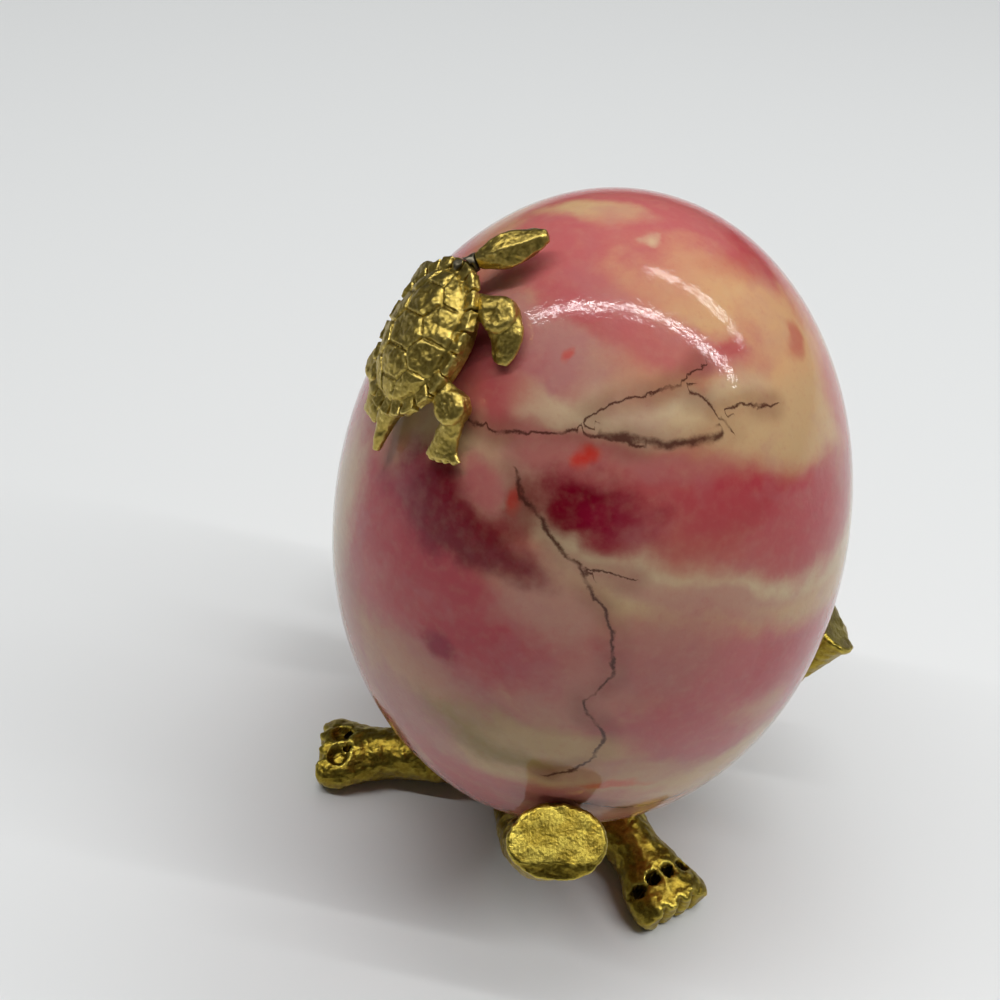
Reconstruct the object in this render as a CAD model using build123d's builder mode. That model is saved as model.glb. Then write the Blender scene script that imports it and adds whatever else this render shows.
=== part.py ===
from build123d import *
import math
import os

# A polished stone egg on a cast brass stand, with a small brass turtle climbing on its side.
# Millimetres, +Z up. The origin is on the table, midway between the three paw feet.

# Egg
egg_diameter = 52.0
egg_blunt_height = 34.5
egg_pointed_height = 37.4
egg_lift_off_table = 7.0
egg_shift_right = 1.3
egg_shift_forward = 2.7

# Stand: three cast legs, each a paw foot, a low shank, a bend under the egg and a rising arm
foot_angles = (-171.5, -48.0, 72.0)
arm_angles = (-87.0, 8.0, 137.0)
foot_reach = 25.4
arm_reach = 30.9
arm_height = 27.2
shank_run = 22.9
arm_run = 28.0
bend_reach = 3.9
shank_width = 5.5
shank_depth = 5.2
leg_knee_radius = 3.0
shank_height = 3.7
leg_knee_height = 3.5
arm_end_width = 10.0
arm_end_depth = 7.6
arm_end_face_tilt = 60.0
arm_end_bevel_tilt = 34.0
arm_end_edge = 0.35

# Paw feet, which flare out of the shanks: toes parted by grooves, and a row of pits behind them
paw_toe_count = 4
paw_toe_pitch = 2.0
paw_groove_radius = 0.7
paw_groove_depth = 0.5
paw_pit_counts = (2, 4, 4)
paw_pit_radius = 0.75
paw_pit_pitch = 1.95
paw_pit_setback = 3.1
paw_pit_floor = 3.0

# Brazing where the three bends meet
leg_solder_radius = 2.6
leg_solder_height = 3.4

# Turtle's place on the egg, as angles round and up the egg, and its heading from straight up
turtle_longitude = -152.0
turtle_latitude = 46.4
turtle_heading = 18.5

# Turtle's shell
shell_length = 14.8
shell_width = 11.0
shell_height = 2.7
shell_rim_thickness = 0.9
shell_seam_width = 0.26
shell_seam_depth = 0.3

# Turtle's body and limbs
belly_lift = 0.3
belly_thickness = 1.4
limb_clearance = 0.15
shoulder_lift = 0.9
flipper_width = 3.0
flipper_depth = 1.7
hind_leg_width = 2.7
hind_leg_depth = 1.8
paw_claw_radius = 0.42
paw_claw_count = 4
neck_radius = 0.8
neck_length = 0.5
head_length = 6.0
head_width = 3.7
head_depth = 2.7
head_turn = -41.0
head_lift = 2.5
tail_length = 4.9
tail_radius = 1.3
tail_tip_radius = 0.35
tail_turn = 172.0
glue_share = 0.66

os.makedirs("parts", exist_ok=True)

egg_radius = egg_diameter / 2
egg_widest_height = egg_lift_off_table + egg_blunt_height
egg_place = Location((egg_shift_right, -egg_shift_forward, egg_widest_height))


# Egg: a turned outline of a blunt and a pointed quarter-ellipse that meet at the widest plane.
# The share is how far along each quarter's tangents the curve's handles lie.
quarter_share = 0.5523

with BuildPart() as egg_form:
    with BuildSketch(Plane.XZ):
        with BuildLine():
            Bezier(
                (0, egg_pointed_height),
                (egg_radius * quarter_share, egg_pointed_height),
                (egg_radius, egg_pointed_height * quarter_share),
                (egg_radius, 0),
            )
            Bezier(
                (egg_radius, 0),
                (egg_radius, -egg_blunt_height * quarter_share),
                (egg_radius * quarter_share, -egg_blunt_height),
                (0, -egg_blunt_height),
            )
            Line((0, -egg_blunt_height), (0, egg_pointed_height))
        make_face()
    revolve(axis=Axis.Z)

with BuildPart() as egg:
    with Locations(egg_place):
        add(egg_form.part)


# Sections of a stand leg's two branches, which both run along +X from the bend. Each row of
# shares gives a section's run along the branch, its height, its width and its depth.
shank_shares = (
    (0.00, 1.00, 1.00, 1.00),
    (0.30, 1.00, 1.12, 1.12),
    (0.58, 0.92, 1.17, 1.13),
    (0.79, 0.70, 1.32, 1.05),
    (0.93, 0.56, 1.66, 0.98),
    (1.00, 0.50, 1.48, 0.84),
)
arm_shares = (
    (0.00, 0.136, 0.52, 0.64),
    (0.22, 0.158, 0.55, 0.66),
    (0.45, 0.265, 0.58, 0.68),
    (0.67, 0.470, 0.60, 0.68),
    (0.83, 0.685, 0.66, 0.70),
    (0.93, 0.875, 0.80, 0.80),
    (1.00, 1.000, 1.00, 1.00),
)
arm_bevel_share = 0.52


def branch_stations(shares, run, rise, width, depth):
    # Centre, width and depth of each section
    stations = []
    for run_share, height_share, width_share, depth_share in shares:
        centre = Vector(run * run_share, 0, rise * height_share)
        stations.append((centre, width * width_share, depth * depth_share))
    return stations


def station_planes(stations, upward=Vector(0, 0, 1)):
    # Section planes square to the run from one station to the next
    centres = [centre for centre, width, depth in stations]
    planes = []
    for index, centre in enumerate(centres):
        before = centres[max(index - 1, 0)]
        after = centres[min(index + 1, len(centres) - 1)]
        along = (after - before).normalized()
        sideways = along.cross(upward).normalized()
        planes.append(Plane(origin=centre, x_dir=sideways, z_dir=along))
    return planes


def make_branch(stations, planes):
    # A limb of oval sections
    with BuildPart() as branch:
        for plane, (centre, width, depth) in zip(planes, stations):
            with BuildSketch(plane):
                Ellipse(width / 2, depth / 2)
        loft()
    return branch


shank_stations = branch_stations(
    shank_shares, shank_run, shank_height, shank_width, shank_depth
)
shank_limb = make_branch(shank_stations, station_planes(shank_stations))

with BuildPart() as shank:
    add(shank_limb.part)
    split(bisect_by=Plane.XY)

arm_stations = branch_stations(arm_shares, arm_run, arm_height, arm_end_width, arm_end_depth)
arm_planes = station_planes(arm_stations)
arm_planes[-1] = Plane(
    origin=arm_planes[-1].origin,
    x_dir=arm_planes[-1].x_dir,
    z_dir=(1, 0, math.tan(math.radians(arm_end_face_tilt))),
)
arm_limb = make_branch(arm_stations, arm_planes)

# The end is filed flat, then once more across its outer side
arm_bevel_place = arm_planes[-1].origin + arm_planes[-1].y_dir * (
    arm_end_depth / 2 * arm_bevel_share
)
arm_bevel_turn = math.radians(arm_end_bevel_tilt)
arm_bevel = Plane(
    origin=arm_bevel_place, z_dir=(math.cos(arm_bevel_turn), 0, math.sin(arm_bevel_turn))
)

with BuildPart() as arm:
    add(arm_limb.part)
    chamfer(arm.faces().sort_by(Axis.Z)[-1].edges(), arm_end_edge)
    split(bisect_by=arm_bevel, keep=Keep.BOTTOM)

base_align = (Align.CENTER, Align.CENTER, Align.MIN)


def make_foot(pit_count):
    with BuildPart() as foot:
        add(shank.part)
        with Locations((shank_run + paw_groove_radius - paw_groove_depth, 0, 0)):
            with GridLocations(paw_toe_pitch, paw_toe_pitch, 1, paw_toe_count - 1):
                Cylinder(paw_groove_radius, shank_depth, align=base_align, mode=Mode.SUBTRACT)
        with Locations((shank_run - paw_pit_setback, 0, paw_pit_floor)):
            with GridLocations(paw_pit_pitch, paw_pit_pitch, 1, pit_count):
                Cylinder(paw_pit_radius, shank_depth, align=base_align, mode=Mode.SUBTRACT)
    return foot


def polar_point(reach, angle):
    turn = math.radians(angle)
    return Vector(reach * math.cos(turn), reach * math.sin(turn), 0)


def heading_of(run):
    return math.degrees(math.atan2(run.Y, run.X))


def make_leg(foot_angle, arm_angle, pit_count):
    foot = make_foot(pit_count)
    bend = polar_point(bend_reach, (foot_angle + arm_angle) / 2)
    foot_heading = heading_of(polar_point(foot_reach, foot_angle) - bend)
    arm_heading = heading_of(polar_point(arm_reach, arm_angle) - bend)
    knee_heading = (foot_heading + arm_heading) / 2 + 180
    knee_centre = bend + Vector(0, 0, leg_knee_height)
    with BuildPart() as leg:
        with Locations(Location(bend, (0, 0, foot_heading))):
            add(foot.part)
        with Locations(Location(knee_centre, (0, 0, knee_heading))):
            Sphere(leg_knee_radius)
        with Locations(Location(bend, (0, 0, arm_heading))):
            add(arm.part)
    return leg


leg_left = make_leg(foot_angles[0], arm_angles[0], paw_pit_counts[0])
leg_right = make_leg(foot_angles[1], arm_angles[1], paw_pit_counts[1])
leg_rear = make_leg(foot_angles[2], arm_angles[2], paw_pit_counts[2])

with BuildPart() as leg_solder:
    with Locations((0, 0, shank_height)):
        Cylinder(leg_solder_radius, leg_solder_height)
    for leg in (leg_left, leg_right, leg_rear):
        add(leg.part, mode=Mode.SUBTRACT)


# Turtle. It is shaped flat, heading along +X with its back up, then placed on the egg.
shell_half_length = shell_length / 2
shell_half_width = shell_width / 2
belly_top = belly_lift + belly_thickness
shell_base = Plane.XY.offset(belly_top)


def egg_seat_plane():
    # The plane that touches the egg under the turtle's middle, with its X axis along the heading
    around = math.radians(turtle_longitude)
    upward = math.radians(turtle_latitude)
    from_middle = Vector(
        egg_radius * math.cos(upward) * math.cos(around),
        egg_radius * math.cos(upward) * math.sin(around),
        egg_pointed_height * math.sin(upward),
    )
    outward = Vector(
        from_middle.X / egg_radius**2,
        from_middle.Y / egg_radius**2,
        from_middle.Z / egg_pointed_height**2,
    ).normalized()
    uphill = (Vector(0, 0, 1) - outward * outward.Z).normalized()
    across = outward.cross(uphill)
    heading = math.radians(turtle_heading)
    forward = uphill * math.cos(heading) + across * math.sin(heading)
    return Plane(origin=egg_place.position + from_middle, x_dir=forward, z_dir=outward)


turtle_plane = egg_seat_plane()


def egg_surface_height(ahead, left):
    # Height of the egg's skin below the turtle's plane, where a line square to it meets the egg
    base = turtle_plane.origin + turtle_plane.x_dir * ahead + turtle_plane.y_dir * left
    start = base - egg_place.position
    step = turtle_plane.z_dir
    weights = (1 / egg_radius**2, 1 / egg_radius**2, 1 / egg_pointed_height**2)
    squared = sum(w * s * s for w, s in zip(weights, step))
    mixed = sum(w * b * s for w, b, s in zip(weights, start, step))
    constant = sum(w * b * b for w, b in zip(weights, start)) - 1
    return (-mixed + math.sqrt(mixed * mixed - squared * constant)) / squared


def egg_outward(ahead, left):
    # Direction out of the egg's skin at that place, in the turtle's own axes
    height = egg_surface_height(ahead, left)
    on_skin = turtle_plane.from_local_coords(Vector(ahead, left, height))
    from_middle = on_skin - egg_place.position
    outward = Vector(
        from_middle.X / egg_radius**2,
        from_middle.Y / egg_radius**2,
        from_middle.Z / egg_pointed_height**2,
    ).normalized()
    return Vector(
        outward.dot(turtle_plane.x_dir),
        outward.dot(turtle_plane.y_dir),
        outward.dot(turtle_plane.z_dir),
    )


# Shell seams, as shares of the half length and half width
middle_plate_shares = (
    (0.84, 0.14), (0.60, 0.22), (0.42, 0.40), (0.20, 0.24), (0.00, 0.42),
    (-0.22, 0.24), (-0.40, 0.38), (-0.58, 0.20), (-0.82, 0.14),
)
rim_inner_share = 0.82
rim_outer_share = 1.1
rim_plate_count = 22
dome_share = 0.90
core_share = 0.88


def shell_point(ahead_share, left_share):
    return (shell_half_length * ahead_share, shell_half_width * left_share)


def rim_point(share, number):
    turn = 2 * math.pi * (number + 0.5) / rim_plate_count
    return shell_point(share * math.cos(turn), share * math.sin(turn))


def add_seam(start, end):
    with BuildLine() as seam:
        Line(start, end)
    trace(seam.line, line_width=shell_seam_width)


with BuildSketch(shell_base) as middle_seams:
    for side in (1, -1):
        corners = [shell_point(ahead, side * left) for ahead, left in middle_plate_shares]
        for start, end in zip(corners, corners[1:]):
            add_seam(start, end)
        for corner_share in middle_plate_shares[2:8:2]:
            ahead, left = corner_share
            rim_left = rim_inner_share * math.sqrt(1 - ahead * ahead)
            add_seam(shell_point(ahead, side * left), shell_point(ahead, side * rim_left))
    for ahead, left in middle_plate_shares[1::2]:
        add_seam(shell_point(ahead, left), shell_point(ahead, -left))

with BuildSketch(shell_base) as rim_seams:
    Ellipse(
        shell_half_length * rim_inner_share + shell_seam_width / 2,
        shell_half_width * rim_inner_share + shell_seam_width / 2,
    )
    Ellipse(
        shell_half_length * rim_inner_share - shell_seam_width / 2,
        shell_half_width * rim_inner_share - shell_seam_width / 2,
        mode=Mode.SUBTRACT,
    )
    for number in range(rim_plate_count):
        add_seam(rim_point(rim_inner_share, number), rim_point(rim_outer_share, number))

with BuildPart() as shell_core:
    Sphere(1, arc_size1=0, align=base_align)
    scale(
        by=(
            shell_half_length * core_share,
            shell_half_width * core_share,
            shell_height - shell_seam_depth,
        )
    )

with BuildPart() as shell_dome:
    Sphere(1, arc_size1=0, align=base_align)
    scale(by=(shell_half_length * dome_share, shell_half_width * dome_share, shell_height))

with BuildPart() as shell_blank:
    with Locations(shell_base):
        add(shell_dome.part)
    with BuildSketch(shell_base):
        Ellipse(shell_half_length, shell_half_width)
    extrude(amount=shell_rim_thickness)

with BuildPart() as shell_form:
    add(shell_blank.part)
    with BuildSketch(shell_base):
        add(middle_seams.sketch)
        add(rim_seams.sketch)
    extrude(amount=shell_height, mode=Mode.SUBTRACT)
    with Locations(shell_base):
        add(shell_core.part)

# Belly plate under the shell
belly_share = 0.80

with BuildPart() as belly_form:
    with BuildSketch(Plane.XY.offset(belly_lift)):
        Ellipse(shell_half_length * belly_share, shell_half_width * belly_share)
    extrude(amount=belly_thickness)

# Limb stations: ahead and left as shares of the shell's half sizes, then shares of the
# limb's width, depth and lift above the egg's skin. The first row of each is the joint.
upper_flipper_shares = (
    (0.58, 1.02, 0.96, 1.00, 0.50),
    (0.58, 0.80, 0.86, 1.00, 0.80),
    (0.52, 0.56, 0.80, 0.90, 1.00),
)
lower_flipper_shares = (
    (0.58, 1.02, 0.96, 1.00, 0.50),
    (0.45, 1.19, 1.02, 0.86, 0.24),
    (0.28, 1.28, 0.84, 0.66, 0.08),
    (0.12, 1.30, 0.46, 0.45, 0.00),
)
thigh_shares = (
    (-0.52, 0.98, 1.00, 1.00, 0.50),
    (-0.44, 0.80, 0.95, 1.00, 0.80),
    (-0.37, 0.56, 0.85, 0.90, 1.00),
)
shin_shares = (
    (-0.52, 0.98, 1.00, 1.00, 0.50),
    (-0.72, 1.00, 0.84, 0.85, 0.18),
    (-0.91, 0.96, 0.96, 0.72, 0.02),
    (-1.10, 1.00, 1.42, 0.58, 0.00),
)
paw_claw_share = 0.78
joint_share = 1.12
joint_round_share = 0.3


def limb_stations(shares, limb_width, limb_depth, side):
    stations = []
    for ahead_share, left_share, width_share, depth_share, lift_share in shares:
        ahead, left = shell_point(ahead_share, side * left_share)
        depth = limb_depth * depth_share
        lift = limb_clearance + depth / 2 + shoulder_lift * lift_share
        on_skin = Vector(ahead, left, egg_surface_height(ahead, left))
        centre = on_skin + egg_outward(ahead, left) * lift
        stations.append((centre, limb_width * width_share, depth))
    return stations


def make_limb(shares, limb_width, limb_depth, side, claw_count):
    # Upper part to the knee or elbow, a rounded joint, then the lower part
    upper_shares, lower_shares = shares
    upward = egg_outward(*shell_point(lower_shares[1][0], side * lower_shares[1][1]))
    upper_stations = limb_stations(upper_shares, limb_width, limb_depth, side)
    lower_stations = limb_stations(lower_shares, limb_width, limb_depth, side)
    lower_planes = station_planes(lower_stations, upward)
    upper = make_branch(upper_stations, station_planes(upper_stations, upward))
    lower = make_branch(lower_stations, lower_planes)
    joint_centre, joint_width, joint_depth = lower_stations[0]
    tip_width = lower_stations[-1][1]
    joint_plane = Plane(origin=joint_centre, z_dir=upward)
    with BuildPart() as joint:
        Cylinder(joint_width * joint_share / 2, joint_depth * joint_share)
        fillet(joint.edges().filter_by(GeomType.CIRCLE), joint_depth * joint_round_share)
    with BuildPart() as limb:
        add(upper.part)
        with Locations(joint_plane.location):
            add(joint.part)
        add(lower.part)
        if claw_count:
            claw_pitch = tip_width * paw_claw_share / claw_count
            with Locations(lower_planes[-1].location):
                with GridLocations(claw_pitch, claw_pitch, claw_count, 1):
                    Sphere(paw_claw_radius)
        add(belly_form.part, mode=Mode.SUBTRACT)
        add(shell_blank.part, mode=Mode.SUBTRACT)
    return limb


def place_on_egg(form):
    with BuildPart() as placed:
        with Locations(turtle_plane.location):
            add(form.part)
    return placed


flipper_shares = (upper_flipper_shares, lower_flipper_shares)
hind_leg_shares = (thigh_shares, shin_shares)
flipper_right_form = make_limb(flipper_shares, flipper_width, flipper_depth, -1, 0)
flipper_left_form = make_limb(flipper_shares, flipper_width, flipper_depth, 1, 0)
hind_leg_right_form = make_limb(
    hind_leg_shares, hind_leg_width, hind_leg_depth, -1, paw_claw_count
)
hind_leg_left_form = make_limb(
    hind_leg_shares, hind_leg_width, hind_leg_depth, 1, paw_claw_count
)
flipper_right = place_on_egg(flipper_right_form)
flipper_left = place_on_egg(flipper_left_form)
hind_leg_right = place_on_egg(hind_leg_right_form)
hind_leg_left = place_on_egg(hind_leg_left_form)

# Head: an angular snake-like head that turns aside and follows the egg
head_shares = (
    (0.00, 0.42, 0.55),
    (0.20, 0.78, 0.86),
    (0.45, 1.00, 1.00),
    (0.72, 0.80, 0.78),
    (0.92, 0.50, 0.52),
    (1.00, 0.34, 0.36),
)
head_brow_share = 0.45
neck_root = Vector(shell_half_length, -neck_radius, belly_top)
head_run = Vector(math.cos(math.radians(head_turn)), math.sin(math.radians(head_turn)), 0)
nose_flat = neck_root + head_run * (neck_length + head_length)
nose_height = egg_surface_height(nose_flat.X, nose_flat.Y) + head_lift
nose = Vector(nose_flat.X, nose_flat.Y, nose_height)
head_along = (nose - neck_root).normalized()
head_sideways = head_along.cross(Vector(0, 0, 1)).normalized()
neck_end = neck_root + head_along * neck_length

with BuildPart() as head_form:
    for run_share, width_share, depth_share in head_shares:
        section_place = neck_end + (nose - neck_end) * run_share
        half_width = head_width * width_share / 2
        half_depth = head_depth * depth_share / 2
        brow = half_width * head_brow_share
        with BuildSketch(Plane(origin=section_place, x_dir=head_sideways, z_dir=head_along)):
            with BuildLine():
                Polyline(
                    (half_width, 0),
                    (brow, half_depth),
                    (-brow, half_depth),
                    (-half_width, 0),
                    (-brow, -half_depth),
                    (brow, -half_depth),
                    close=True,
                )
            make_face()
    loft()

with BuildPart() as neck_form:
    with BuildSketch(Plane(origin=neck_end, x_dir=head_sideways, z_dir=head_along)):
        Circle(neck_radius)
    extrude(amount=-neck_length - shell_half_length * (1 - belly_share))
    add(belly_form.part, mode=Mode.SUBTRACT)
    add(shell_blank.part, mode=Mode.SUBTRACT)

# Tail: a short blunt cone under the rear rim
tail_run = Vector(math.cos(math.radians(tail_turn)), math.sin(math.radians(tail_turn)), 0)
tail_root_flat = Vector(-shell_half_length * belly_share, tail_radius, 0)
tail_tip_flat = tail_root_flat + tail_run * tail_length
tail_lift = tail_radius + limb_clearance
tail_root_height = egg_surface_height(tail_root_flat.X, tail_root_flat.Y) + tail_lift
tail_tip_height = egg_surface_height(tail_tip_flat.X, tail_tip_flat.Y) + tail_lift
tail_root = tail_root_flat + Vector(0, 0, tail_root_height)
tail_tip = tail_tip_flat + Vector(0, 0, tail_tip_height)
tail_along = tail_tip - tail_root

with BuildPart() as tail_cone:
    Cone(tail_radius, tail_tip_radius, tail_along.length, align=base_align)

with BuildPart() as tail_form:
    with Locations(Plane(origin=tail_root, z_dir=tail_along).location):
        add(tail_cone.part)
    add(belly_form.part, mode=Mode.SUBTRACT)
    add(shell_blank.part, mode=Mode.SUBTRACT)

# Adhesive between the belly and the egg
with BuildPart() as glue_form:
    with BuildSketch(Plane.XY.offset(belly_lift)):
        Ellipse(shell_half_length * glue_share, shell_half_width * glue_share)
    extrude(amount=-belly_lift - belly_thickness)

turtle_shell = place_on_egg(shell_form)
turtle_belly = place_on_egg(belly_form)
turtle_head = place_on_egg(head_form)
neck_solder = place_on_egg(neck_form)
turtle_tail = place_on_egg(tail_form)

with BuildPart() as glue_bed:
    with Locations(turtle_plane.location):
        add(glue_form.part)
    add(egg.part, mode=Mode.SUBTRACT)

pieces = {
    "egg": egg,
    "turtle_shell": turtle_shell,
    "turtle_belly": turtle_belly,
    "turtle_head": turtle_head,
    "neck_solder": neck_solder,
    "turtle_tail": turtle_tail,
    "front_flipper_right": flipper_right,
    "front_flipper_left": flipper_left,
    "rear_leg_right": hind_leg_right,
    "rear_leg_left": hind_leg_left,
    "glue_bed": glue_bed,
    "leg_left": leg_left,
    "leg_right": leg_right,
    "leg_rear": leg_rear,
    "leg_solder": leg_solder,
}
for name, piece in pieces.items():
    piece.part.label = name
    export_step(piece.part, f"parts/{name}.step")
    print(name, len(piece.solids()), round(piece.part.volume, 2))
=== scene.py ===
import math

import bpy
import numpy as np
from mathutils import Matrix, Vector, noise


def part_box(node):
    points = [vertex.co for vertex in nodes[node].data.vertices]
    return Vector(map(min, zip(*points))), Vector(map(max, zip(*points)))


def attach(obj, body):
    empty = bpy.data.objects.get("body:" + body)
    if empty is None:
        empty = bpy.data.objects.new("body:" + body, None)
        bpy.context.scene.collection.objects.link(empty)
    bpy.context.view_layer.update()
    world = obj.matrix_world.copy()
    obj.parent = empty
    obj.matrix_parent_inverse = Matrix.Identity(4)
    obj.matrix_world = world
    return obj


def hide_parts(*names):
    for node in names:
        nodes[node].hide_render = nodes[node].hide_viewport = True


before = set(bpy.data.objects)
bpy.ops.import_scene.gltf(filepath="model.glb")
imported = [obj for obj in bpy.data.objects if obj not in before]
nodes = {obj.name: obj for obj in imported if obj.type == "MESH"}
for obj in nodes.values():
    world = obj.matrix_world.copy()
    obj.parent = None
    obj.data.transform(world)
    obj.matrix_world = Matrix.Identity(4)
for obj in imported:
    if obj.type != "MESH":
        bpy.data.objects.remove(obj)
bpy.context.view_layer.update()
mm = 0.001
print("frame loaded")


class Wire:
    # a shader socket that adds up like a number

    def __init__(self, finish, socket):
        self.finish = finish
        self.socket = socket

    def calc(self, operation, first, second):
        return self.finish.node("ShaderNodeMath", {"operation": operation}, {0: first, 1: second})

    def __add__(self, other):
        return self.calc("ADD", self, other)

    def __sub__(self, other):
        return self.calc("SUBTRACT", self, other)

    def __rsub__(self, other):
        return self.calc("SUBTRACT", other, self)

    def __mul__(self, other):
        return self.calc("MULTIPLY", self, other)

    def __truediv__(self, other):
        return self.calc("DIVIDE", self, other)

    __radd__ = __add__
    __rmul__ = __mul__


class Finish:
    # one material and the nodes that make it

    def __init__(self, name):
        self.material = bpy.data.materials.new(name)
        self.material.use_nodes = True
        self.tree = self.material.node_tree
        self.shader = self.tree.nodes["Principled BSDF"]

    def node(self, kind, settings, inputs, output=0):
        made = self.tree.nodes.new(kind)
        for key, value in settings.items():
            if key == "stops":
                ramp = made.color_ramp
                while len(ramp.elements) < len(value):
                    ramp.elements.new(0.5)
                for element, (place, colour) in zip(ramp.elements, value):
                    element.position = place
                    element.color = colour
            else:
                setattr(made, key, value)
        for key, value in inputs.items():
            self.feed(made.inputs[key], value)
        return Wire(self, made.outputs[output])

    def feed(self, socket, value):
        if isinstance(value, Wire):
            self.tree.links.new(value.socket, socket)
        else:
            socket.default_value = value

    def set(self, **values):
        for name, value in values.items():
            label = "".join(" " + letter if letter.isupper() else letter for letter in name).title()
            self.feed(self.shader.inputs[label.replace("Ior", "IOR")], value)

    def place(self, scale=1.0):
        # object coordinates in millimetres
        found = self.node("ShaderNodeTexCoord", {}, {}, "Object")
        return self.vector("SCALE", found, {"Scale": scale / mm})

    def vector(self, operation, first, more):
        return self.node("ShaderNodeVectorMath", {"operation": operation}, {0: first, **more})

    def noise(self, where, scale, detail=2.0, output=0, **more):
        inputs = {"Vector": where, "Scale": scale, "Detail": detail, **more}
        return self.node("ShaderNodeTexNoise", {}, inputs, output)

    def warp(self, where, scale, amount, detail=2.0):
        swirl = self.noise(where, scale, detail, 1)
        centred = self.vector("SUBTRACT", swirl, {1: (0.5, 0.5, 0.5)})
        return self.vector("ADD", where, {1: self.vector("SCALE", centred, {"Scale": amount})})

    def between(self, value, low, high, start=0.0, end=1.0):
        inputs = {"Value": value, 1: low, 2: high, 3: start, 4: end}
        return self.node("ShaderNodeMapRange", {"interpolation_type": "SMOOTHSTEP"}, inputs)

    def mix(self, share, first, second):
        return self.node("ShaderNodeMix", {"data_type": "RGBA"}, {0: share, 6: first, 7: second}, 2)

    def bump(self, height, strength, distance):
        inputs = {"Height": height, "Strength": strength, "Distance": distance}
        return self.node("ShaderNodeBump", {}, inputs)


def colour(red, green, blue):
    # screen colour from 0 to 255, as the shader wants it
    shares = [channel / 255 for channel in (red, green, blue)]
    linear = [((c + 0.055) / 1.055) ** 2.4 if c > 0.04045 else c / 12.92 for c in shares]
    return (*linear, 1.0)


# camera at the height and turn of the photograph
cameraLook = {
    "target": Vector((-7.9, 2.8, 40.0)) * mm,
    "distance": 150.0 * mm,
    "elevation": math.radians(40.8),
    "roll": math.radians(7.1),
    "focalShare": 1.4,
    "clipStart": 5 * mm,
}


def addCamera():
    look = cameraLook
    back = Vector((0, -math.cos(look["elevation"]), math.sin(look["elevation"])))
    up = Vector((0, math.sin(look["elevation"]), math.cos(look["elevation"])))
    side = Vector((1, 0, 0))
    roll = look["roll"]
    across = side * math.cos(roll) + up * math.sin(roll)
    upright = up * math.cos(roll) - side * math.sin(roll)
    bpy.ops.object.camera_add(location=look["target"] + back * look["distance"])
    camera = bpy.context.object
    camera.name = "viewCamera"
    turn = Matrix((across, upright, back)).transposed()
    camera.matrix_world = Matrix.Translation(camera.location) @ turn.to_4x4()
    camera.data.sensor_fit = "HORIZONTAL"
    camera.data.lens = look["focalShare"] * camera.data.sensor_width
    camera.data.clip_start = look["clipStart"]
    bpy.context.scene.camera = camera


# soft studio: two long strip lamps overhead, a wide lamp behind and a sky that is pale above
studio = {
    "floorSize": 3.0,
    "floorColour": colour(227, 229, 229),
    "floorGrain": 0.4,
    "floorRoughness": (0.55, 0.1),  # plain, and what the grain adds
    "skyTop": 1.18,
    "skyHorizon": 0.20,
    "skySpan": (-0.1, 0.8),  # heights between which the sky brightens
    "lamps": (
        ("wideLamp", (0.05, 0.35, 0.90), (0.0, 0.0, 0.03), 0.90, 0.90, 0.0, 3.4),
        ("nearStrip", (0.09, -0.075, 0.60), (0.09, -0.075, 0.0), 1.44, 0.014, -6.1, 3.8),
        ("farStrip", (0.43, 0.13, 0.60), (0.43, 0.13, 0.0), 0.72, 0.016, -4.2, 1.1),
    ),
}


def addStudio():
    bpy.ops.mesh.primitive_plane_add(size=studio["floorSize"])
    floor = bpy.context.object
    floor.name = "studioFloor"
    finish = Finish("paleFloor")
    grain = finish.noise(finish.place(), studio["floorGrain"])
    plain, rougher = studio["floorRoughness"]
    finish.set(baseColor=studio["floorColour"], roughness=plain + rougher * grain)
    floor.data.materials.append(finish.material)
    for name, place, aim, width, depth, turned, power in studio["lamps"]:
        bpy.ops.object.light_add(type="AREA", location=place)
        lamp = bpy.context.object
        lamp.name = name
        lamp.data.shape = "RECTANGLE"
        lamp.data.size = width
        lamp.data.size_y = depth
        lamp.data.energy = power
        lamp.visible_glossy = name != "wideLamp"
        turn = (Vector(aim) - Vector(place)).to_track_quat("-Z", "Y").to_matrix()
        lamp.rotation_euler = (Matrix.Rotation(math.radians(turned), 3, "Z") @ turn).to_euler()
    sky = bpy.data.worlds.new("studioSky")
    sky.use_nodes = True
    bpy.context.scene.world = sky
    tree = sky.node_tree
    coords = tree.nodes.new("ShaderNodeTexCoord")
    split = tree.nodes.new("ShaderNodeSeparateXYZ")
    fade = tree.nodes.new("ShaderNodeMapRange")
    fadeValues = (*studio["skySpan"], studio["skyHorizon"], studio["skyTop"])
    for number, value in enumerate(fadeValues, 1):
        fade.inputs[number].default_value = value
    tree.links.new(coords.outputs["Generated"], split.inputs[0])
    tree.links.new(split.outputs["Z"], fade.inputs[0])
    tree.links.new(fade.outputs[0], tree.nodes["Background"].inputs["Strength"])
    bpy.context.scene.view_settings.view_transform = "Standard"


addCamera()
addStudio()
print("camera and studio ready")


def deselectAll():
    if bpy.context.object and bpy.context.object.mode != "OBJECT":
        bpy.ops.object.mode_set(mode="OBJECT")
    bpy.ops.object.select_all(action="DESELECT")


def makeActive(piece):
    deselectAll()
    piece.select_set(True)
    bpy.context.view_layer.objects.active = piece


def applyAll(piece):
    makeActive(piece)
    for modifier in list(piece.modifiers):
        bpy.ops.object.modifier_apply(modifier=modifier.name)


def addLumps(piece, name, size, strength, depth=2, group=""):
    # uneven cast surface, moved along the normals
    clouds = bpy.data.textures.new(name, "CLOUDS")
    clouds.noise_scale = size * mm
    clouds.noise_depth = depth
    lumps = piece.modifiers.new(name, "DISPLACE")
    lumps.texture = clouds
    lumps.texture_coords = "LOCAL"
    lumps.strength = strength * mm
    lumps.mid_level = 0.5
    if group:
        lumps.vertex_group = group


mergeReach = 0.001 * mm  # points nearer than this are one


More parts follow.
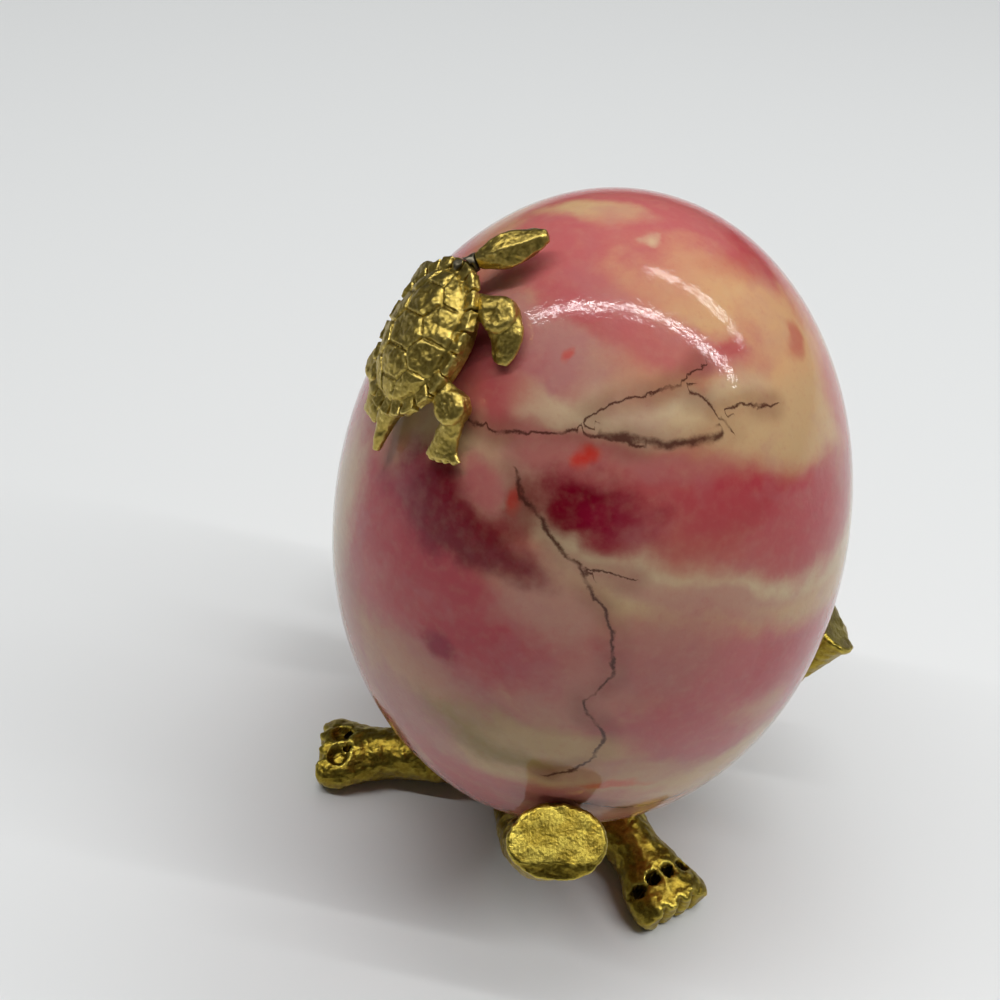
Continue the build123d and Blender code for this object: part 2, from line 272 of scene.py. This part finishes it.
def castFrom(nodeName, pieceName, voxel, smoothing):
    # a copy of the solid as one even skin, ready for casting marks
    piece = nodes[nodeName].copy()
    piece.data = nodes[nodeName].data.copy()
    piece.name = pieceName
    piece.parent = None
    for key in list(piece.keys()):
        del piece[key]
    bpy.context.scene.collection.objects.link(piece)
    piece.data.materials.clear()
    makeActive(piece)
    bpy.ops.object.mode_set(mode="EDIT")
    bpy.ops.mesh.select_all(action="SELECT")
    bpy.ops.mesh.remove_doubles(threshold=mergeReach)
    bpy.ops.object.mode_set(mode="OBJECT")
    skin = piece.modifiers.new("skin", "REMESH")
    skin.mode = "VOXEL"
    skin.voxel_size = voxel * mm
    skin.adaptivity = 0
    soften = piece.modifiers.new("soften", "SMOOTH")
    soften.factor = 0.5
    soften.iterations = smoothing
    applyAll(piece)
    bpy.ops.object.shade_smooth()
    return piece


# the egg: its size comes from the frame, and its widest ring parts a blunt from a pointed half
eggLow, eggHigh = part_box("egg")
egg = {
    "centre": Vector(((eggLow.x + eggHigh.x) / 2, (eggLow.y + eggHigh.y) / 2, 0)),
    "radius": (eggHigh.x - eggLow.x) / 2,
    "bluntHeight": 34.5,
    "pointedHeight": 37.4,
    "segments": 360,
    "rings": 190,
    "waviness": 0.05,
    "waveSize": 9.0,
    "veinJag": 0.42,
    "veinJagScale": 0.55,
    "veinSeed": 7,
    "veinReach": 30.0,
    "veinWidth": 0.3,
    "seam": 0.0001,
}
egg["height"] = eggHigh.z - eggLow.z
egg["blunt"] = egg["height"] * (egg["bluntHeight"] / (egg["bluntHeight"] + egg["pointedHeight"]))
egg["pointed"] = egg["height"] - egg["blunt"]
egg["centre"].z = eggLow.z + egg["blunt"]

# veins: width in mm, then turns round the egg in degrees and heights above its widest ring in mm
veins = (
    (0.34, (
        (-131, 24.6), (-122, 24.9), (-116, 25.5), (-109, 26.2), (-102, 26.9), (-93, 26.7), (-83, 26.6),
    )),
    (0.95, ((-95, 26.9), (-83, 26.8), (-73, 26.7), (-64, 27.0))),
    (0.24, ((-103, 26.8), (-97, 28.5), (-90, 29.4), (-82, 30.0), (-74, 30.4), (-66, 31.5))),
    (0.34, ((-71, 30.0), (-65, 29.2), (-62, 28.2), (-60, 27.2))),
    (0.26, ((-63, 28.6), (-56, 28.6), (-43, 27.6))),
    (0.60, ((-113, 22.8), (-110, 21.4), (-107, 20.6), (-103, 19.3))),
    (0.44, ((-103, 19.3), (-99, 18.0), (-95, 17.1), (-93, 16.0), (-91, 14.3), (-88, 13.4), (-86, 11.2))),
    (0.36, ((-86, 11.2), (-85, 8.6), (-85, 6.4), (-87, 5.2), (-90, 3.8), (-88, 2.0), (-84, 0.1))),
    (0.42, ((-84, 0.1), (-84, -2.0), (-85, -3.8), (-88, -6.2), (-94, -8.0))),
    (0.20, ((-94, 16.8), (-90, 16.9), (-84, 16.4))),
    (0.40, ((-86, -13.0), (-78, -14.2), (-69, -15.4), (-58, -15.0))),
    (0.34, ((58, 24.4), (70, 21.8), (80, 20.6), (92, 20.9), (104, 19.0), (119, 19.8))),
    (0.26, ((92, 20.9), (98, 23.4), (108, 24.6))),
    (0.28, ((152, 8.2), (146, 4.6), (150, 1.0), (144, -3.4), (148, -7.2))),
)


def onEgg(turn, height):
    level = egg["pointed"] if height > 0 else egg["blunt"]
    reach = egg["radius"] * math.sqrt(max(0.0, 1 - (height * mm / level) ** 2))
    angle = math.radians(turn)
    return egg["centre"] + Vector((reach * math.cos(angle), reach * math.sin(angle), height * mm))


def markVeins(piece):
    # how far each point lies to the left or right of its nearest vein, and that vein's width, in mm
    jag = egg["veinJag"] * mm
    noise.seed_set(egg["veinSeed"])
    scale = egg["veinJagScale"] / mm
    points = np.array([
        vertex.co + jag * noise.noise_vector(vertex.co * scale) for vertex in piece.data.vertices
    ])
    best = np.full(len(points), egg["veinReach"])
    side = np.full(len(points), 1.0)
    wide = np.full(len(points), egg["veinWidth"])
    for width, stops in veins:
        line = [np.array(onEgg(turn, height)) for turn, height in stops]
        for start, end in zip(line, line[1:]):
            run = end - start
            share = np.clip((points - start) @ run / (run @ run), 0, 1)
            offset = points - start - share[:, None] * run
            gap = np.linalg.norm(offset, axis=1) / mm
            nearer = gap < best
            best[nearer] = gap[nearer]
            wide[nearer] = width
            outward = (start + end) / 2 - np.array(egg["centre"])
            side[nearer] = np.sign(offset @ np.cross(run, outward))[nearer]
    for name, values in (("veinAway", best * side), ("veinNear", best), ("veinWide", wide)):
        marks = piece.data.attributes.new(name, "FLOAT", "POINT")
        marks.data.foreach_set("value", values.astype(np.float32))


# the stone: its colours, then the sizes of its swirls, edges, grain and veins
stone = {
    "cream": colour(200, 165, 122),
    "paleCream": colour(204, 180, 144),
    "oliveCream": colour(150, 124, 74),
    "peach": colour(208, 162, 118),
    "rose": colour(176, 64, 72),
    "softRose": colour(186, 98, 98),
    "dustyPink": colour(178, 114, 104),
    "mauve": colour(178, 118, 116),
    "ashPink": colour(186, 134, 116),
    "darkRose": colour(116, 14, 26),
    "magenta": colour(142, 20, 50),
    "deepMagenta": colour(116, 6, 30),
    "red": colour(204, 44, 28),
    "veinBrown": colour(74, 38, 30),
    "veinStain": colour(116, 62, 48),
    "layerSlope": 0.3,
    "wideSwirl": (0.07, 7.0, 3.0),  # scale, reach in mm and detail
    "fineSwirl": (0.3, 2.0, 4.0),
    "cloudScale": 0.11,
    "creamClouds": (0.45, 0.72, 0.0, 0.6),  # noise from and to, then share from and to
    "frayScale": 0.32,
    "fray": 0.75,
    "areaEdge": (0.45, 1.35),
    "mottleScale": 0.9,
    "paleMottle": (0.4, 0.8, 0.0, 0.09),
    "speckScale": 1.7,
    "roseSpecks": (0.5, 0.8, 0.0, 0.18),
    "mauveScale": 0.2,
    "mauveClouds": (0.5, 0.75, 0.0, 0.3),
    "veinWander": 1.1,
    "veinWanderScale": 0.9,
    "stainReach": (0.2, 2.2, 0.5, 0.0),
    "stainClouds": (0.35, 0.6, 0.2, 1.0),
    "breakScale": 0.6,
    "veinBreaks": (0.32, 0.52, 0.4, 1.0),
    "veinLimit": (0.5, 0.85, 1.0, 0.0),
    "veinEdge": (0.08, 0.72, 0.9, 0.0),
    "poreScale": 2.2,
    "polish": (0.05, 0.09),
    "ripple": (0.35, 1.3, 2.8),  # scale of the waves, then scale and share of the fine ones
    "rippleDepth": 0.05,
}

# colour areas: colour, turn, height, half width, half height, depth, tilt, strength
stoneAreas = (
    ("softRose", -150, 36.5, 15.0, 4.6, 15.0, 0, 0.9),
    ("softRose", 4, 36.4, 11.0, 3.0, 11.0, 0, 0.9),
    ("cream", 164, 36.8, 2.2, 6.0, 5.0, 0, 0.95),
    ("peach", -43, 33.9, 9.0, 3.4, 11.0, -24, 0.9),
    ("softRose", -88, 36.0, 7.0, 1.6, 8.0, -10, 0.7),
    ("peach", -34, 30.4, 15.0, 5.6, 14.0, -28, 1.0),
    ("cream", -26, 24.8, 10.0, 4.0, 12.0, -24, 0.85),
    ("rose", 14, 33.6, 9.0, 1.6, 8.0, -14, 0.75),
    ("mauve", -127, 30.3, 8.0, 3.6, 9.0, 0, 0.85),
    ("rose", -118, 33.6, 5.0, 1.3, 6.0, 0, 0.6),
    ("softRose", -72, 33.0, 9.0, 1.8, 9.0, -12, 0.85),
    ("dustyPink", -112, 27.0, 6.0, 2.4, 6.0, 0, 0.7),
    ("paleCream", -113, 28.2, 5.0, 1.3, 6.0, 0, 0.7),
    ("paleCream", -79, 28.7, 9.5, 1.9, 8.0, 2, 1.0),
    ("cream", -52, 26.6, 7.0, 2.6, 10.0, -16, 0.9),
    ("rose", -50, 32.2, 1.6, 0.9, 3.0, 0, 0.6),
    ("rose", -22, 30.6, 1.8, 1.2, 3.0, 0, 0.6),
    ("softRose", -8, 23.0, 4.0, 6.0, 6.0, 0, 0.8),
    ("dustyPink", -84, 25.3, 9.0, 1.2, 8.0, -8, 0.75),
    ("rose", -60, 19.6, 17.0, 4.3, 14.0, -19, 0.74),
    ("rose", -36, 15.6, 10.0, 3.6, 12.0, -20, 0.7),
    ("deepMagenta", -95, 22.4, 5.2, 2.7, 6.0, -8, 1.0),
    ("magenta", -86, 21.0, 3.6, 2.4, 5.0, -8, 0.6),
    ("softRose", -142, 9.0, 8.5, 8.0, 10.0, 0, 0.9),
    ("rose", -129, 13.0, 7.0, 4.6, 9.0, 0, 0.8),
    ("rose", -134, 13.4, 8.0, 4.6, 9.0, 0, 0.8),
    ("magenta", -133, 18.0, 6.0, 4.0, 6.0, 0, 1.0),
    ("deepMagenta", -132, 19.6, 3.6, 2.4, 5.0, 0, 0.8),
    ("rose", -112, 17.6, 4.4, 2.6, 5.0, 0, 0.7),
    ("dustyPink", -121, 21.2, 3.4, 2.8, 5.0, 0, 0.9),
    ("softRose", -122, 21.4, 2.6, 2.0, 4.0, 0, 0.7),
    ("deepMagenta", -111, 20.8, 1.8, 2.8, 4.0, 12, 0.7),
    ("red", -113, 21.6, 0.9, 1.2, 2.0, 20, 0.55),
    # rose patches beside the turtle's shell and under its head: partly the stone's rose, partly painted
    # shade cast by the turtle
    ("rose", -136, 27.6, 5.0, 4.0, 6.0, 0, 0.7),
    ("softRose", -138, 34.0, 5.0, 2.0, 6.0, 0, 0.8),
    ("ashPink", -62, 13.0, 16.0, 1.7, 14.0, -21, 0.85),
    ("cream", -36, 8.6, 9.0, 1.6, 12.0, -20, 0.75),
    ("softRose", -56, 5.4, 13.0, 5.0, 14.0, -20, 0.95),
    ("rose", -44, 3.6, 6.0, 3.4, 10.0, -20, 0.7),
    ("dustyPink", -77, 9.6, 6.0, 5.0, 8.0, 0, 0.75),
    ("ashPink", -101, 12.4, 5.4, 6.0, 6.0, 0, 0.9),
    ("ashPink", -92, 4.6, 5.0, 5.4, 8.0, 0, 0.7),
    ("darkRose", -118, 17.0, 7.4, 2.4, 7.0, -12, 1.0),
    ("deepMagenta", -131, 17.8, 4.2, 3.4, 5.0, 0, 0.9),
    ("rose", -114, 6.7, 9.5, 4.2, 9.0, 2, 1.0),
    ("magenta", -121, 3.9, 2.2, 1.7, 4.0, -20, 0.9),
    ("dustyPink", -152, -3.0, 5.0, 9.0, 8.0, 0, 0.8),
    ("paleCream", -163, 7.0, 5.4, 11.0, 8.0, 0, 0.75),
    ("oliveCream", -106, -4.0, 9.5, 3.6, 14.0, 4, 1.0),
    ("mauve", -130, -8.0, 7.0, 6.0, 10.0, 0, 0.8),
    ("cream", -93, -2.6, 9.0, 2.6, 10.0, 0, 0.8),
    ("softRose", -64, -2.6, 10.0, 3.6, 10.0, -20, 0.85),
    ("cream", -52, -9.8, 13.0, 2.4, 12.0, 12, 0.9),
    ("softRose", -100, -12.4, 12.0, 3.0, 12.0, 0, 0.8),
    ("red", -116.5, 31.2, 0.55, 0.35, 1.5, 20, 0.6),
    ("red", -98, 26.0, 1.2, 0.8, 2.0, 0, 0.95),
    ("red", -80, -9.4, 3.2, 0.7, 3.0, 0, 0.6),
    ("paleCream", -75, 37.1, 0.7, 0.5, 1.0, 0, 0.8),
)


def stoneFinish():
    finish = Finish("dyedAlabaster")
    where = finish.place()
    swirled = finish.warp(finish.warp(where, *stone["wideSwirl"]), *stone["fineSwirl"])
    along = finish.node("ShaderNodeSeparateXYZ", {}, {0: swirled}, 0) * stone["layerSlope"]
    height = finish.node("ShaderNodeSeparateXYZ", {}, {0: swirled}, 2) - egg["centre"].z / mm
    band = finish.node(
        "ShaderNodeValToRGB",
        {"stops": (
            (0.00, stone["dustyPink"]), (0.22, stone["softRose"]), (0.34, stone["cream"]),
            (0.46, stone["dustyPink"]), (0.53, stone["softRose"]), (0.62, stone["rose"]),
            (0.69, stone["cream"]), (0.74, stone["paleCream"]), (0.80, stone["dustyPink"]),
            (0.85, stone["rose"]), (0.90, stone["cream"]), (0.94, stone["softRose"]),
            (1.00, stone["softRose"]),
        )},
        {0: finish.node(
            "ShaderNodeMapRange", {}, {0: height + along, 1: -egg["bluntHeight"], 2: egg["pointedHeight"]}
        )},
    )
    cloud = finish.noise(swirled, stone["cloudScale"], 5.0)
    base = finish.mix(finish.between(cloud, *stone["creamClouds"]), band, stone["cream"])
    fray = stone["fray"] * (finish.noise(where, stone["frayScale"], 6.0, Roughness=0.62) - 0.5)
    for name, turn, level, width, tall, deep, tilt, strength in stoneAreas:
        middle = onEgg(turn, level) / mm
        local = finish.node(
            "ShaderNodeMapping",
            {"vector_type": "TEXTURE"},
            {0: swirled, 1: middle, 2: (math.radians(tilt), 0, math.radians(turn)), 3: (deep, width, tall)},
        )
        reach = finish.node("ShaderNodeVectorMath", {"operation": "LENGTH"}, {0: local}, 1)
        share = finish.between(reach + fray, *stone["areaEdge"], strength, 0.0)
        base = finish.mix(share, base, stone[name])
    mottle = finish.noise(where, stone["mottleScale"], 6.0)
    base = finish.mix(finish.between(mottle, *stone["paleMottle"]), base, stone["paleCream"])
    speck = finish.noise(where, stone["speckScale"], 5.0, Roughness=0.7)
    base = finish.mix(finish.between(speck, *stone["roseSpecks"]), base, stone["rose"])
    veil = finish.noise(swirled, stone["mauveScale"], 5.0)
    base = finish.mix(finish.between(veil, *stone["mauveClouds"]), base, stone["mauve"])
    away = finish.node("ShaderNodeAttribute", {"attribute_name": "veinAway"}, {}, 2)
    wide = finish.node("ShaderNodeAttribute", {"attribute_name": "veinWide"}, {}, 2)
    wander = finish.noise(where, stone["veinWanderScale"], 7.0, Roughness=0.68) - 0.5
    jagged = away + stone["veinWander"] * wander
    apart = finish.node("ShaderNodeMath", {"operation": "ABSOLUTE"}, {0: jagged})
    near = finish.node("ShaderNodeAttribute", {"attribute_name": "veinNear"}, {}, 2)
    stain = finish.between(near, *stone["stainReach"]) * finish.between(cloud, *stone["stainClouds"])
    base = finish.mix(stain, base, stone["veinStain"])
    broken = finish.between(finish.noise(where, stone["breakScale"], 4.0), *stone["veinBreaks"])
    broken = broken * finish.between(near, *stone["veinLimit"])
    line = finish.between(apart / wide, *stone["veinEdge"]) * broken
    base = finish.mix(line, base, stone["veinBrown"])
    pores = finish.noise(where, stone["poreScale"], 3.0)
    smooth, duller = stone["polish"]
    waveScale, fineScale, fineShare = stone["ripple"]
    ripple = finish.noise(where, waveScale, 2.0) + fineShare * finish.noise(where, fineScale, 3.0)
    finish.set(
        baseColor=base,
        roughness=smooth + duller * pores,
        normal=finish.bump(ripple, 0.2, stone["rippleDepth"] * mm),
        specularIorLevel=0.32,
        subsurfaceWeight=0.08,
        subsurfaceScale=1.0 * mm,
    )
    return finish.material


def makeEgg():
    deselectAll()
    bpy.ops.mesh.primitive_uv_sphere_add(segments=egg["segments"], ring_count=egg["rings"], radius=1)
    stoneEgg = bpy.context.object
    stoneEgg.name = "stoneEgg"
    for upper in (True, False):
        bpy.ops.object.mode_set(mode="EDIT")
        bpy.ops.mesh.select_all(action="DESELECT")
        bpy.ops.object.mode_set(mode="OBJECT")
        for vertex in stoneEgg.data.vertices:
            vertex.select = vertex.co.z > egg["seam"] if upper else vertex.co.z < -egg["seam"]
        bpy.ops.object.mode_set(mode="EDIT")
        half = egg["pointed"] if upper else egg["blunt"]
        bpy.ops.transform.resize(value=(1, 1, half / egg["radius"]), center_override=(0, 0, 0))
    bpy.ops.mesh.select_all(action="SELECT")
    size = egg["radius"]
    bpy.ops.transform.resize(value=(size, size, size), center_override=(0, 0, 0))
    bpy.ops.transform.translate(value=egg["centre"])
    bpy.ops.object.mode_set(mode="OBJECT")
    addLumps(stoneEgg, "handPolish", egg["waveSize"], egg["waviness"])
    applyAll(stoneEgg)
    bpy.ops.object.shade_smooth()
    markVeins(stoneEgg)
    stoneEgg.data.materials.append(stoneFinish())
    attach(stoneEgg, "egg_body")
    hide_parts("egg")


makeEgg()
print("egg ready")


# cast brass: scales of its marks, and the noise or crease from and to which each one grows
castMarks = {
    "blotchScale": 0.7,
    "fineScale": 4.0,
    "hollow": (0.45, 0.54, 1.0, 0.0),
    "worn": (0.53, 0.60),
    "tarnish": (0.35, 0.68),
    "bright": (0.45, 0.75, 0.0, 0.5),
    "sheenScale": 0.45,
    "sheen": (0.38, 0.62, 0.1, 0.85),
    "fileStretch": (3.0, 0.6, 0.6),
    "dull": (0.3, 1.0),
    "depth": 0.14,
}


def brassFinish(name, brass):
    # dark in the hollows and pits, rubbed bright on the high spots
    finish = Finish(name)
    where = finish.place()
    crease = finish.node("ShaderNodeNewGeometry", {}, {}, "Pointiness")
    filed = finish.node("ShaderNodeAttribute", {"attribute_name": "filed"}, {}, 2)
    blotch = finish.noise(where, castMarks["blotchScale"], 5.0)
    fine = finish.noise(where, castMarks["fineScale"], 5.0)
    hollow = finish.between(crease + 0.06 * blotch, *castMarks["hollow"])
    worn = finish.between(crease + 0.08 * blotch, *castMarks["worn"])
    base = finish.mix(finish.between(blotch, *castMarks["tarnish"]), brass["plain"], brass["tarnish"])
    base = finish.mix(finish.between(fine, *castMarks["bright"]), base, brass["bright"])
    base = finish.mix(worn, base, brass["bright"])
    base = finish.mix(hollow, base, brass["dark"])
    # painted sheen: bright brass colour in patches on the filed faces, partly the bare filed metal
    sheen = finish.between(finish.noise(where, castMarks["sheenScale"], 4.0), *castMarks["sheen"])
    base = finish.mix(filed * sheen, base, brass["bright"])
    stretched = finish.vector("MULTIPLY", where, {1: castMarks["fileStretch"]})
    scratches = finish.noise(finish.warp(stretched, 0.3, 1.5), 1.3, 5.0)
    relief = blotch * 0.7 + fine * 0.4 + 0.5 * filed * scratches
    dull = finish.between(fine + hollow * 0.4, *castMarks["dull"], brass["smooth"], brass["rough"])
    finish.set(
        baseColor=base,
        metallic=1.0,
        roughness=dull,
        normal=finish.bump(relief, brass["grain"], castMarks["depth"] * mm),
    )
    return finish.material


standBrass = brassFinish("standBrass", {
    "bright": colour(196, 176, 78),
    "plain": colour(160, 136, 48),
    "tarnish": colour(122, 98, 30),
    "dark": colour(42, 30, 10),
    "grain": 0.75,
    "smooth": 0.30,
    "rough": 0.58,
})
turtleBrass = brassFinish("turtleBrass", {
    "bright": colour(218, 196, 112),
    "plain": colour(192, 168, 84),
    "tarnish": colour(154, 130, 58),
    "dark": colour(44, 34, 14),
    "grain": 0.6,
    "smooth": 0.36,
    "rough": 0.60,
})


solder = {
    "dark": colour(92, 84, 66),
    "bright": colour(150, 142, 122),
    "cloudScale": 1.5,
    "clouds": (0.35, 0.65),
    "depth": 0.1,
}


def solderFinish():
    finish = Finish("greySolder")
    cloud = finish.noise(finish.place(), solder["cloudScale"], 3.0)
    finish.set(
        baseColor=finish.mix(finish.between(cloud, *solder["clouds"]), solder["dark"], solder["bright"]),
        metallic=0.9,
        roughness=0.35 + 0.2 * cloud,
        normal=finish.bump(cloud, 0.6, solder["depth"] * mm),
    )
    return finish.material


greySolder = solderFinish()

# stand legs: rough cast, with the arm ends filed flat and the paws standing on the table
legs = {
    "names": {"leg_left": "standLegLeft", "leg_right": "standLegRight", "leg_rear": "standLegRear"},
    "voxel": 0.17,
    "smoothing": 3,
    "filedAbove": 22.0,
    "filedTilt": 60.0,
    "filedTurn": 14.0,
    "filedSmooth": 0.85,
    "soleHeight": 0.5,
    "pawReach": 19.0,
    "pawBlend": 2.5,
    "pawTop": 8.0,
    "pawSwell": 0.32,
    "pitsAbove": (2.4, 3.0),  # where the swell stops, and where the pits are pushed in
    "lumps": (2.6, 0.6, 2),  # size, strength and depth
    "grain": (0.8, 0.22, 3),
    "pitDepth": 1.0,
    "paws": {
        "leg_left": ((-2.47, -3.02), -178.1, 1.35, ((20.9, -1.0), (20.8, 1.9))),
        "leg_right": ((3.66, -1.33), -52.8, 0.85, ((19.6, 3.0), (19.6, 0.8), (19.6, -1.3), (19.8, -3.3))),
        "leg_rear": ((-0.98, 3.78), 66.6, 0.85, ((19.7, 3.0), (19.8, 1.0), (19.6, -1.0), (19.8, -3.0))),
    },
}


def groupOf(piece, name, weights):
    # a vertex group with its weights in tenths
    group = piece.vertex_groups.new(name=name)
    for step in range(1, 11):
        chosen = np.flatnonzero(np.round(weights * 10) == step)
        group.add([int(index) for index in chosen], step / 10, "REPLACE")


def pitShare(places, node):
    # 1 in the middle of a paw's pits and 0 at their edges
    bend, heading, radius, pits = legs["paws"][node]
    turn = math.radians(heading)
    deepest = np.zeros(len(places))
    for run, side in pits:
        middle = np.array(bend) + (
            run * math.cos(turn) - side * math.sin(turn),
            run * math.sin(turn) + side * math.cos(turn),
        )
        away = np.linalg.norm(places[:, :2] - middle, axis=1) / radius
        deepest = np.maximum(deepest, np.clip(1.3 - 1.3 * away * away, 0, 1))
    return deepest


def markLeg(piece, node):
    # where the casting is lumpy, where it is filed, where the paw swells and where its pits are
    count = len(piece.data.vertices)
    places = np.empty(count * 3)
    piece.data.vertices.foreach_get("co", places)
    places = places.reshape(-1, 3) / mm
    facing = np.array([normal.vector for normal in piece.data.vertex_normals])
    outward = places[places[:, 2].argmax()] * (1, 1, 0)
    outward /= np.linalg.norm(outward)
    tilt = math.radians(legs["filedTilt"])
    aim = outward * math.cos(tilt) + np.array((0, 0, math.sin(tilt)))
    high = places[:, 2] > legs["filedAbove"]
    filed = (high & (facing @ aim > math.cos(math.radians(legs["filedTurn"])))).astype(float)
    sole = np.clip(places[:, 2] / legs["soleHeight"], 0, 1)
    outside = np.hypot(places[:, 0], places[:, 1]) - legs["pawReach"]
    reach = np.clip(outside / legs["pawBlend"], 0, 1)
    low = places[:, 2] < legs["pawTop"]
    sideways = np.clip(1.25 - np.abs(facing[:, 2]), 0, 1)
    swellStop, pitFloor = legs["pitsAbove"]
    groupOf(piece, "castSkin", (1 - legs["filedSmooth"] * filed) * sole)
    pits = pitShare(places, node) * (places[:, 2] > swellStop)
    groupOf(piece, "pawSwell", reach * low * sideways * sole * (pits == 0))
    groupOf(piece, "pits", pits * (places[:, 2] > pitFloor) * np.clip(facing[:, 2] * 2, 0, 1))
    marks = piece.data.attributes.new("filed", "FLOAT", "POINT")
    marks.data.foreach_set("value", filed.astype(np.float32))


def makeLegs():
    for node, name in legs["names"].items():
        leg = castFrom(node, name, legs["voxel"], legs["smoothing"])
        markLeg(leg, node)
        pits = leg.modifiers.new("pits", "DISPLACE")
        pits.direction = "Z"
        pits.strength = -legs["pitDepth"] * mm
        pits.mid_level = 0
        pits.vertex_group = "pits"
        swell = leg.modifiers.new("pawSwell", "DISPLACE")
        swell.strength = legs["pawSwell"] * mm
        swell.mid_level = 0
        swell.vertex_group = "pawSwell"
        addLumps(leg, name + "Lumps", *legs["lumps"], "castSkin")
        addLumps(leg, name + "Grain", *legs["grain"], "castSkin")
        applyAll(leg)
        leg.data.materials.append(standBrass)
        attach(leg, "stand")
        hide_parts(node)
    nodes["leg_solder"].data.materials.clear()
    nodes["leg_solder"].data.materials.append(standBrass)


makeLegs()
print("stand ready")

# turtle: one small soft-edged casting soldered up from several
turtle = {
    "pieces": {  # name, smoothing steps and strength of the lumps
        "turtle_shell": ("turtleShell", 21, 0.42),
        "turtle_belly": ("turtleBelly", 4, 0.16),
        "turtle_head": ("turtleHead", 15, 0.34),
        "neck_solder": ("neckCollar", 14, 0.5),
        "turtle_tail": ("turtleTail", 8, 0.3),
        "front_flipper_right": ("turtleFlipperRight", 10, 0.34),
        "front_flipper_left": ("turtleFlipperLeft", 10, 0.34),
        "rear_leg_right": ("turtleHindRight", 8, 0.34),
        "rear_leg_left": ("turtleHindLeft", 8, 0.34),
    },
    "voxel": 0.08,
    "lumpSize": 1.4,
    "grain": (0.45, 0.06),
}


def makeTurtle():
    for node, (name, smoothing, lumps) in turtle["pieces"].items():
        piece = castFrom(node, name, turtle["voxel"], smoothing)
        addLumps(piece, name + "Lumps", turtle["lumpSize"], lumps)
        addLumps(piece, name + "Grain", *turtle["grain"])
        applyAll(piece)
        collar = node == "neck_solder"
        piece.data.materials.append(greySolder if collar else turtleBrass)
        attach(piece, "egg_body")
        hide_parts(node)


makeTurtle()
print("turtle ready")


# glue bed under the turtle: partly the adhesive's own red, partly painted shade in the seam where the
# turtle meets the egg
glueAndShade = {"dark": colour(92, 34, 30), "pale": colour(140, 66, 54), "cloudScale": 1.2}


def glueFinish():
    finish = Finish("adhesiveAndShade")
    cloud = finish.noise(finish.place(), glueAndShade["cloudScale"], 3.0)
    finish.set(
        baseColor=finish.mix(cloud, glueAndShade["dark"], glueAndShade["pale"]),
        roughness=0.4 + 0.3 * cloud,
    )
    return finish.material


nodes["glue_bed"].data.materials.clear()
nodes["glue_bed"].data.materials.append(glueFinish())
print("small parts ready")

bpy.context.view_layer.update()
